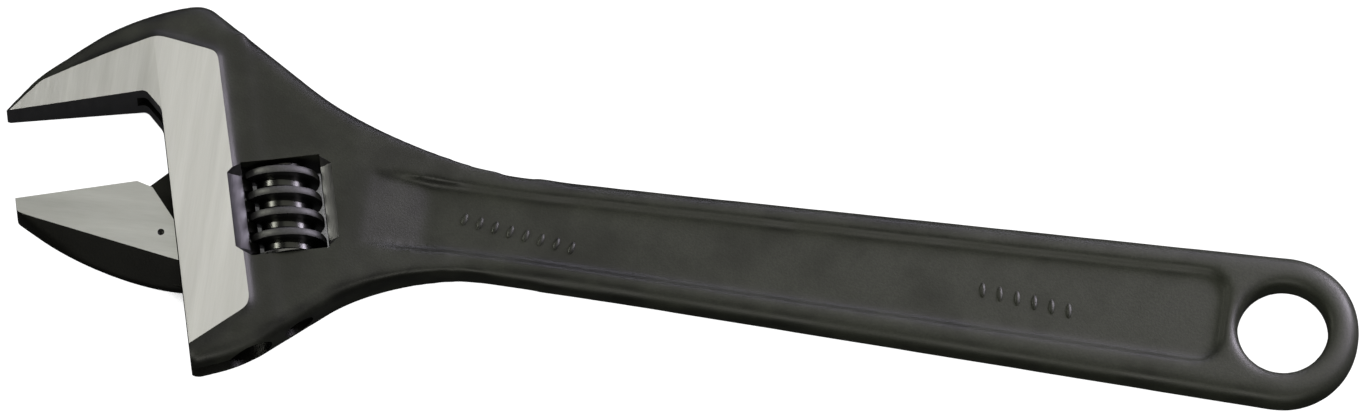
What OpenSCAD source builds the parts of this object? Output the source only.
// Adjustable wrench of the wide-opening, thin-jaw pattern.
// It is made of a forged handle with the fixed jaw, a sliding jaw with a rack,
// a left-hand worm with a knurled crest, the pin that the worm turns on, and a spring.
// The frame: the origin is the centre of the hanging hole, at mid thickness.
// +X runs along the handle and away from the head, and +Z is across the thickness.
// The head has its own axes: u points from the jaws' tips to the handle,
// and v is the way that the sliding jaw closes. Its origin is where the fixed
// jaw's face meets the face that the sliding jaw runs along.

/* [Handle] */
// Distance along the handle from the hanging hole to the head's corner
reach = 182; // [160:1:230]
// How far the head's corner lies above the handle's centre line
head_rise = 13.2; // [12:0.2:14.4]
// Angle of the head to the handle, in degrees
head_angle = 15; // [12:0.5:18]
// Width of the handle at its narrowest
neck_w = 17.7; // [14:0.2:20]
// How far the middle of the narrowest place lies below the hole's centre
neck_drop = 0.7; // [0:0.1:1]
// Distance from the hanging hole to the narrowest place
neck_back = 115; // [95:1:120]
// Radius of the handle's round end
end_r = 12.1; // [10:0.2:14.2]
// Thickness of the handle at its rims
handle_t = 6.8; // [5.6:0.2:8.2]
// Rounding of the handle's edges
rim_r = 2.6; // [1.6:0.1:2.8]
// Thickness of the web between the rims
web_t = 4; // [3:0.2:5.2]
// Width of the rims beside the web, at the narrowest place
rim_neck = 3.3; // [2.6:0.1:4]
// Width of the rims beside the web, at the hole
rim_end = 4.4; // [3.6:0.1:5.2]
// Radius of the hanging hole
hang_r = 7.2; // [5:0.1:8.2]
// Chamfer on both edges of the hanging hole
hang_chamfer = 0.6; // [0.3:0.1:1]

/* [Head] */
// Thickness across the ground faces of the head
head_t = 12; // [11.4:0.2:14.4]
// Thickness of the forged head beside the ground faces
forged_t = 10; // [9.6:0.2:11.2]
// Rounding of the forged head's edges
forged_r = 2; // [1.2:0.1:2.6]
// Length of the fixed jaw, from the head's corner to its tip
jaw_l = 24.5; // [21:0.5:29]
// Thickness of both jaws at their tips
jaw_tip_t = 6.6; // [5:0.2:8]
// Height of the head above the fixed jaw's face
crown = 13.8; // [12.4:0.2:16.4]
// Width of the ground face beside the jaws
bar_w = 10.4; // [9.6:0.2:11]
// Height of the head below the fixed jaw's face
head_l = 45.9; // [44:0.5:56]

/* [Sliding jaw] */
// Opening between the jaws as drawn
opening = 14.8; // [10:0.2:20]
// Opening at the end of the jaw's travel
opening_max = 32; // [28:0.5:33]
// Radius of the rack
rack_r = 3.6; // [3:0.1:3.9]
// Distance from the slide face to the rack's axis
rack_u = 9.4; // [9.3:0.1:9.5]
// How far the rack stands above the sliding jaw's face
rack_up = 8; // [6.5:0.1:8.4]
// How far the rack hangs below the sliding jaw's face
rack_down = 18.5; // [17.6:0.1:21]
// Thickness of the neck between the jaw and the rack
neck_t = 3.6; // [2.8:0.1:4.4]
// Clearance of the rack and its neck in the body
slide_gap = 0.15; // [0.1:0.01:0.25]

/* [Worm] */
// Distance from the slide face to the worm's axis
worm_u = 17.7; // [17.5:0.1:17.9]
// Distance from the fixed jaw's face to the worm's lower end
worm_low = 29.25; // [28.5:0.05:30]
// Length of the worm
worm_l = 15; // [12.5:0.1:16]
// Radius over the worm's crest
worm_r = 6; // [5.9:0.05:6.1]
// Radius of the worm's root
worm_root_r = 4; // [3.7:0.05:4.2]
// Distance that the jaw moves in one turn of the worm
pitch = 3.5; // [3.2:0.05:4.2]
// Width of the ridge at its crest
crest_w = 1.3; // [1.1:0.05:1.5]
// Width of the ridge at the worm's root
ridge_w = 1.9; // [1.6:0.05:2]
// Depth of the knurl's grooves in the crest
knurl_depth = 0.3; // [0.1:0.05:0.4]
// Radius of the pin where the worm turns on it
pin_r = 1.8; // [1.5:0.05:1.9]
// Radius over the pin's thread
pin_thread_r = 2.25; // [2.1:0.05:2.4]
// Thickness of the spring's wire
wire_d = 0.6; // [0.4:0.05:0.7]

/* [Hidden] */
$fn = 64;

forged_black = [0.20, 0.20, 0.19];
ground_steel = [0.70, 0.70, 0.67];
spring_steel = [0.55, 0.55, 0.56];

beyond = 300;            // far enough to cut right through the wrench
arc_step = 6;            // degrees in each step of a rounded corner
half_head = head_t / 2;
half_forged = forged_t / 2;
half_handle = handle_t / 2;
half_tip = jaw_tip_t / 2;
step_down = half_head - half_forged;

// The window that the worm stands in, and its clearances
window_gap = 0.3;                               // beside the worm
seat_gap = 0.05;                                // below the worm
spring_gap = 0.55;                              // above it, where the spring shows
window_low = -worm_low - seat_gap;
window_high = -worm_low + worm_l + spring_gap;
worm_mid = -worm_low + worm_l / 2;

// The pin's place in the body
running_gap = 0.1;
pin_top = window_high + 6.4;
pin_hole_top = pin_top + 0.3;
thread_high = window_low - 1.7;
pin_low = -38.9;
pin_slot_w = 0.8;
pin_slot_depth = 1.2;

// The thread on the pin
thread_pitch = 0.8;
thread_depth = 0.4;

// The spring and its pocket in the worm
pocket_depth = 6.5;
pocket_r = 3.1;
coil_r = 2.5;
coil_turns = 6;
coil_gap = 0.05;

// The rack's teeth, which follow from the worm's ridge
tooth_gap = 0.15;
groove_bottom = worm_u - worm_r - tooth_gap;
ridge_slope = (ridge_w - crest_w) / (worm_r - worm_root_r);
groove_bottom_w = crest_w + 2 * tooth_gap;
lead_angle = atan(pitch / (2 * PI * (worm_r - 0.5)));

// The outline's points in the head's axes, each with its corner radius
back_corner = [-1.5, crown, 40];
shoulder = [9.1, crown, 4];
flank_angle = -46.5;
chin = [8.4, -head_l + 1, 22];
chin_angle = 26;
toe = [0.5, -head_l, 1];
toe_step = [0.4, -head_l + 2.6, 0.3];
slide_end = [0, -head_l + 3, 0];
throat_low = [0, -3.5, 2];
throat_high = [-2.2, 0, 1.2];
top_neck_r = 64;
bottom_neck_r = 38;

// The point at [u, v] in the head's axes, in the frame of the whole wrench
function in_head(p) = [
    -reach + p[0] * cos(head_angle) - p[1] * sin(head_angle),
    head_rise + p[0] * sin(head_angle) + p[1] * cos(head_angle)
];

// An outline's corner moved from the head's axes, with its radius kept
function head_corner(p) = concat(in_head(p), [p[2]]);

function unit(v) = v / norm(v);
function flat(p) = [p[0], p[1]];

// Where the line through p at angle a meets the line through q at angle b
function meet(p, a, q, b) =
    let (d = [cos(a), sin(a)], e = [cos(b), sin(b)], w = q - p)
    p + d * (w[0] * e[1] - w[1] * e[0]) / (d[0] * e[1] - d[1] * e[0]);

// The points of the arc that rounds the corner b between a and c
function corner_arc(a, b, c, r) =
    let (
        d = unit(a - b),
        e = unit(c - b),
        half = acos(d * e) / 2,
        centre = b + unit(d + e) * r / sin(half),
        from = b + d * r / tan(half) - centre,
        to = b + e * r / tan(half) - centre,
        start = atan2(from[1], from[0]),
        turn = atan2(from[0] * to[1] - from[1] * to[0], from * to),
        steps = max(2, ceil(abs(turn) / arc_step))
    )
    [for (i = [0:steps]) centre + r * [cos(start + turn * i / steps), sin(start + turn * i / steps)]];

// The closed outline through corners [x, y, radius]
function rounded(p) = [
    for (i = [0:len(p) - 1])
        let (b = flat(p[i]), a = flat(p[(i + len(p) - 1) % len(p)]), c = flat(p[(i + 1) % len(p)]))
        each p[i][2] > 0 ? corner_arc(a, b, c, p[i][2]) : [b]
];

// The handle's straight edges run from the neck to the round end
neck_top = [-neck_back, neck_w / 2 - neck_drop];
neck_bottom = [-neck_back, -neck_w / 2 - neck_drop];
top_turn = atan((end_r - neck_top[1]) / neck_back);
bottom_turn = atan((end_r + neck_bottom[1]) / neck_back);
top_neck = meet(in_head(flat(shoulder)), flank_angle + head_angle, neck_top, top_turn);
bottom_neck = meet(in_head(flat(chin)), chin_angle + head_angle, neck_bottom, -bottom_turn);
end_arc = [for (a = [90 + top_turn:-arc_step:-90 - bottom_turn]) end_r * [cos(a), sin(a)]];

module body_outline() {
    polygon(rounded(concat(
        [head_corner([-jaw_l, 0, 0.3]), head_corner([-jaw_l, 0.6, 0.2])],
        [head_corner([5.5 - jaw_l, 5.2, 15]), head_corner(back_corner), head_corner(shoulder)],
        [concat(top_neck, [top_neck_r])],
        [for (p = end_arc) [p[0], p[1], 0]],
        [concat(bottom_neck, [bottom_neck_r])],
        [head_corner(chin), head_corner(toe), head_corner(toe_step), head_corner(slide_end)],
        [head_corner(throat_low), head_corner(throat_high)]
    )));
}

// The head's ground faces stand on this boss, in the head's axes
module boss_outline() {
    polygon(rounded([
        [-jaw_l - 1, -1, 0], [-jaw_l - 1, 3.2, 0],
        [0.6, 9.2, 2.5], [bar_w - 0.4, 5.2, 1.5],
        [bar_w, -head_l + 8.3, 2.5], [-1, -head_l + 2.8, 0], [-1, -1, 0]
    ]));
}

// The web's outline, inside the rims
module web_outline() {
    near = worm_u + 10;
    polygon(rounded([
        concat(in_head([near, -16]), [1.5]),
        concat(neck_top + [-5, -rim_neck], [40]),
        [-hang_r - 2.6, end_r - rim_end, 3],
        [-hang_r - 2.6, rim_end - end_r + 0.2, 3],
        concat(neck_bottom + [-5, rim_neck], [40]),
        concat(neck_bottom + [-18, rim_neck - 0.4], [20]),
        concat(in_head([near, window_low + 0.7]), [1.5])
    ]));
}

module head_axes() {
    translate([-reach, head_rise, 0])
        rotate([0, 0, head_angle])
            children();
}

// A shape drawn up the Z axis, turned to run along v
module along_v(u, v) {
    translate([u, v, 0])
        rotate([-90, 0, 0])
            children();
}

// A side view drawn in [u, z], as wide as the head
module across_head() {
    translate([0, beyond, 0])
        rotate([90, 0, 0])
            linear_extrude(2 * beyond)
                children();
}

// The jaws' taper: half the thickness is root_z at the slide face and less at the tips
module jaw_taper(root_z, tip_z) {
    across_head()
        polygon([
            [-jaw_l - 2, -tip_z], [-jaw_l - 2, tip_z], [0, root_z], [1, 3 * root_z], [beyond, 3 * root_z],
            [beyond, -3 * root_z], [1, -3 * root_z], [0, -root_z]
        ]);
}

// A plate with the outline given, whose edges are rounded all the way round
module rounded_plate(thick, r) {
    minkowski() {
        translate([0, 0, r - thick / 2])
            linear_extrude(thick - 2 * r)
                offset(delta = -r)
                    children();
        rotate_extrude($fn = 24)
            polygon([for (a = [-90:30:90]) r * [cos(a), sin(a)]]);
    }
}

// The forged blank: the handle's plate runs through the head, where a thicker one covers it
module forged_blank() {
    ramp_start = -reach + 30;
    ramp_end = ramp_start + 26;
    draft = 0.5;
    intersection() {
        union() {
            rounded_plate(handle_t, rim_r)
                body_outline();
            intersection() {
                rounded_plate(forged_t, forged_r)
                    offset(delta = -draft)
                        body_outline();
                translate([0, beyond, 0])
                    rotate([90, 0, 0])
                        linear_extrude(2 * beyond)
                            polygon([
                                [-reach - beyond, head_t], [ramp_start - 10, head_t], [ramp_start, half_forged + 0.2],
                                [ramp_end, half_handle - 0.3], [ramp_end, 0.3 - half_handle],
                                [ramp_start, -half_forged - 0.2], [ramp_start - 10, -head_t], [-reach - beyond, -head_t]
                            ]);
            }
        }
        head_axes()
            jaw_taper(half_forged, half_tip - step_down);
    }
}

module ground_boss() {
    intersection() {
        translate([0, 0, -half_head])
            linear_extrude(head_t)
                body_outline();
        head_axes()
            translate([0, 0, -half_head])
                linear_extrude(head_t)
                    boss_outline();
        head_axes()
            jaw_taper(half_head, half_tip);
    }
}

// The keyhole that the sliding jaw runs in: a bore for the rack and a slot for its neck
module keyhole() {
    slot_half = neck_t / 2 + slide_gap;
    bore_end = rack_up + 1.2;
    bore_low = -head_l - 4;
    along_v(rack_u, bore_low)
        cylinder(r = rack_r + slide_gap, h = bore_end - bore_low);
    translate([0, 0, -slot_half])
        linear_extrude(2 * slot_half)
            polygon([
                [-4, -0.2], [0, 2.5], [rack_u - 4.4, bore_end], [rack_u, bore_end],
                [rack_u, bore_low], [-1, bore_low], [-1, -3], [-4, -1]
            ]);
}

// The window for the worm, and the dished relief for the thumb on both sides
module worm_window() {
    dish_r = 9.8;
    dish_z = half_head + 4.7;
    dish_end = 1.6;
    half_u = worm_r + window_gap;
    translate([worm_u - half_u, window_low, -half_head - 1])
        cube([2 * half_u, window_high - window_low, head_t + 2]);
    for (side = [-1, 1])
        translate([worm_u, window_low + dish_end, side * dish_z])
            rotate([-90, 0, 0]) {
                cylinder(r = dish_r, h = window_high - window_low - dish_end);
                translate([0, 0, -dish_end])
                    cylinder(r1 = dish_r - dish_end, r2 = dish_r, h = dish_end);
                translate([0, 0, window_high - window_low - dish_end])
                    cylinder(r1 = dish_r, r2 = dish_r - dish_end, h = dish_end);
            }
}

module pin_holes() {
    along_v(worm_u, window_low - 1)
        cylinder(r = pin_r + running_gap, h = pin_hole_top - window_low + 1);
    along_v(worm_u, -head_l - 4)
        cylinder(r = pin_thread_r + running_gap, h = head_l + 4 + window_low + 0.01);
}

module hanging_hole() {
    translate([0, 0, -half_handle - 1])
        cylinder(r = hang_r, h = handle_t + 2);
    for (side = [0, 1])
        mirror([0, 0, side])
            translate([0, 0, half_handle - hang_chamfer])
                cylinder(r1 = hang_r, r2 = hang_r + 2 * hang_chamfer, h = 2 * hang_chamfer);
}

module webs() {
    for (side = [0, 1])
        mirror([0, 0, side])
            translate([0, 0, web_t / 2])
                linear_extrude(half_head)
                    web_outline();
}

module body() {
    color(forged_black)
        difference() {
            union() {
                forged_blank();
                ground_boss();
            }
            head_axes() {
                keyhole();
                worm_window();
                pin_holes();
            }
            hanging_hole();
            webs();
        }
}

// The sliding jaw's outline, measured from its own gripping face
module jaw_outline() {
    back = -slide_gap;
    polygon(rounded([
        [-jaw_l, 0, 0.3], [-5.2, 0, 0.5], [-2.9, -1.4, 1], [back, -7.2, 1],
        [back, -17.2, 0], [-13.7, -14.1, 42], [-jaw_l, -2.1, 0.8]
    ]));
}

// What the grinding leaves bright on the sliding jaw
module jaw_face_outline() {
    polygon([[-jaw_l - 1, 1], [1, 1], [1, -14.2], [-jaw_l - 1, -1.7]]);
}

module jaw_neck_outline() {
    polygon([
        [-4, -0.5], [-3.2, 0], [0, 1.9], [rack_u - 3.6, rack_up], [rack_u, rack_up],
        [rack_u, -rack_down], [rack_u - 3.6, -rack_down], [-1, -17], [-4, -14]
    ]);
}

// The grooves between the rack's teeth, in step with the worm's ridge
module rack_grooves() {
    outer = worm_u - worm_root_r;
    outer_w = groove_bottom_w + ridge_slope * (outer - groove_bottom);
    first = ceil((-rack_down - opening - worm_mid) / pitch) - 1;
    last = floor((rack_up - opening - worm_mid) / pitch) + 1;
    for (n = [first:last])
        translate([0, worm_mid + opening + n * pitch, 0])
            rotate([lead_angle, 0, 0])
                translate([0, 0, -rack_r - 2])
                    linear_extrude(2 * rack_r + 4)
                        polygon([
                            [groove_bottom, -groove_bottom_w / 2], [groove_bottom, groove_bottom_w / 2],
                            [outer, outer_w / 2], [outer, -outer_w / 2]
                        ]);
}

module movable_jaw() {
    half_root = half_head - 0.3;
    rack_chamfer = 0.5;
    dot_back = 2.4;    // the dimple that the hardness test leaves on each side
    dot_down = 9;
    dot_r = 0.6;
    dot_depth = 0.35;
    color(ground_steel)
        head_axes()
            translate([0, -opening, 0])
                difference() {
                    union() {
                        intersection() {
                            translate([0, 0, -half_root])
                                linear_extrude(2 * half_root)
                                    jaw_outline();
                            jaw_taper(half_root - 1.4, half_tip - 1);
                        }
                        intersection() {
                            translate([0, 0, -half_root])
                                linear_extrude(2 * half_root)
                                    jaw_outline();
                            translate([0, 0, -half_root])
                                linear_extrude(2 * half_root)
                                    jaw_face_outline();
                            jaw_taper(half_root, half_tip);
                        }
                        translate([0, 0, -neck_t / 2])
                            linear_extrude(neck_t)
                                jaw_neck_outline();
                        along_v(rack_u, -rack_down) {
                            cylinder(r1 = rack_r - rack_chamfer, r2 = rack_r, h = rack_chamfer);
                            translate([0, 0, rack_chamfer])
                                cylinder(r = rack_r, h = rack_up + rack_down - 2 * rack_chamfer);
                            translate([0, 0, rack_up + rack_down - rack_chamfer])
                                cylinder(r1 = rack_r, r2 = rack_r - rack_chamfer, h = rack_chamfer);
                        }
                    }
                    rack_grooves();
                    for (side = [-1, 1])
                        translate([-dot_back, -dot_down, side * (half_root - dot_depth)])
                            mirror([0, 0, side < 0 ? 1 : 0])
                                cylinder(r1 = 0, r2 = 2 * dot_r, h = 2 * dot_depth);
                }
}

// Triangles of a tube of rings with the given number of points each, closed at both ends
function tube_faces(rings, sides) = concat(
    [for (i = [0:rings - 2], j = [0:sides - 1])
        let (a = i * sides + j, b = i * sides + (j + 1) % sides)
        each [[a, b, a + sides], [b, b + sides, a + sides]]],
    [for (j = [1:sides - 2]) [0, j + 1, j]],
    [for (j = [1:sides - 2]) let (k = (rings - 1) * sides) [k, k + j, k + j + 1]]
);

// A bar wound round the Z axis, left-hand, with its middle going from height high down to low.
// Its middle is at height z_ref where the angle is 180 degrees, and no point is above top or below bottom.
module wound_bar(high, low, z_ref, lead, step, profiles, top, bottom) {
    turn = 360 * (high - low) / lead;
    rings = ceil(turn / step) + 1;
    sides = len(profiles[0]);
    points = [
        for (i = [0:rings - 1])
            let (z = high + (low - high) * i / (rings - 1), a = 180 + 360 * (z_ref - z) / lead)
            each [
                for (p = profiles[i % len(profiles)])
                    [p[0] * cos(a), p[0] * sin(a), min(top, max(bottom, z + p[1]))]
            ]
    ];
    polyhedron(points, tube_faces(rings, sides));
}

function ridge_profile(inner, outer) =
    let (inner_w = crest_w + ridge_slope * (worm_r - inner))
    [[inner, -inner_w / 2], [outer, -crest_w / 2], [outer, crest_w / 2], [inner, inner_w / 2]];

module worm_ridge() {
    inner = worm_root_r - 0.4;
    crest = ridge_profile(inner, worm_r);
    groove = ridge_profile(inner, worm_r - knurl_depth);
    end_land = 0.2;
    wound_bar(worm_l - end_land, end_land, worm_l / 2, pitch, 6, [crest, crest, groove],
              worm_l - end_land, end_land);
}

module worm() {
    color(forged_black)
        head_axes()
            along_v(worm_u, -worm_low)
                difference() {
                    union() {
                        cylinder(r = worm_root_r, h = worm_l);
                        worm_ridge();
                    }
                    translate([0, 0, -1])
                        cylinder(r = pin_r + running_gap, h = worm_l + 2);
                    translate([0, 0, worm_l - pocket_depth])
                        cylinder(r = pocket_r, h = pocket_depth + 1);
                }
}

// The pin: a plain shank, and a threaded end with a slot for the screwdriver
module worm_pin() {
    thread_l = thread_high - pin_low;
    root_r = pin_thread_r - thread_depth;
    tip_chamfer = 0.4;
    color(spring_steel)
        head_axes()
            along_v(worm_u, pin_low)
                difference() {
                    union() {
                        cylinder(r = root_r, h = thread_l);
                        for (n = [0:floor(thread_l / thread_pitch) - 1])
                            translate([0, 0, n * thread_pitch])
                                rotate_extrude()
                                    polygon([
                                        [root_r - 0.2, 0], [root_r, 0],
                                        [pin_thread_r, 0.45 * thread_pitch], [pin_thread_r, 0.55 * thread_pitch],
                                        [root_r, thread_pitch], [root_r - 0.2, thread_pitch]
                                    ]);
                        cylinder(r = pin_r, h = pin_top - pin_low - tip_chamfer);
                        translate([0, 0, pin_top - pin_low - tip_chamfer])
                            cylinder(r1 = pin_r, r2 = pin_r - tip_chamfer, h = tip_chamfer);
                    }
                    translate([-pin_thread_r - 1, -pin_slot_w / 2, -1])
                        cube([2 * pin_thread_r + 2, pin_slot_w, pin_slot_depth + 1]);
                }
}

// The spring that keeps the worm down on its seat
module worm_spring() {
    low = -worm_low + worm_l - pocket_depth + wire_d / 2 + coil_gap;
    high = window_high - wire_d / 2 - coil_gap;
    sides = 8;
    wire = [for (j = [0:sides - 1]) let (a = 360 * j / sides)
        [coil_r + wire_d / 2 * cos(a), wire_d / 2 * sin(a)]];
    color(spring_steel)
        head_axes()
            along_v(worm_u, 0)
                wound_bar(high, low, low, (high - low) / coil_turns, 15, [wire], beyond, -beyond);
}

body();
movable_jaw();
worm();
worm_pin();
worm_spring();
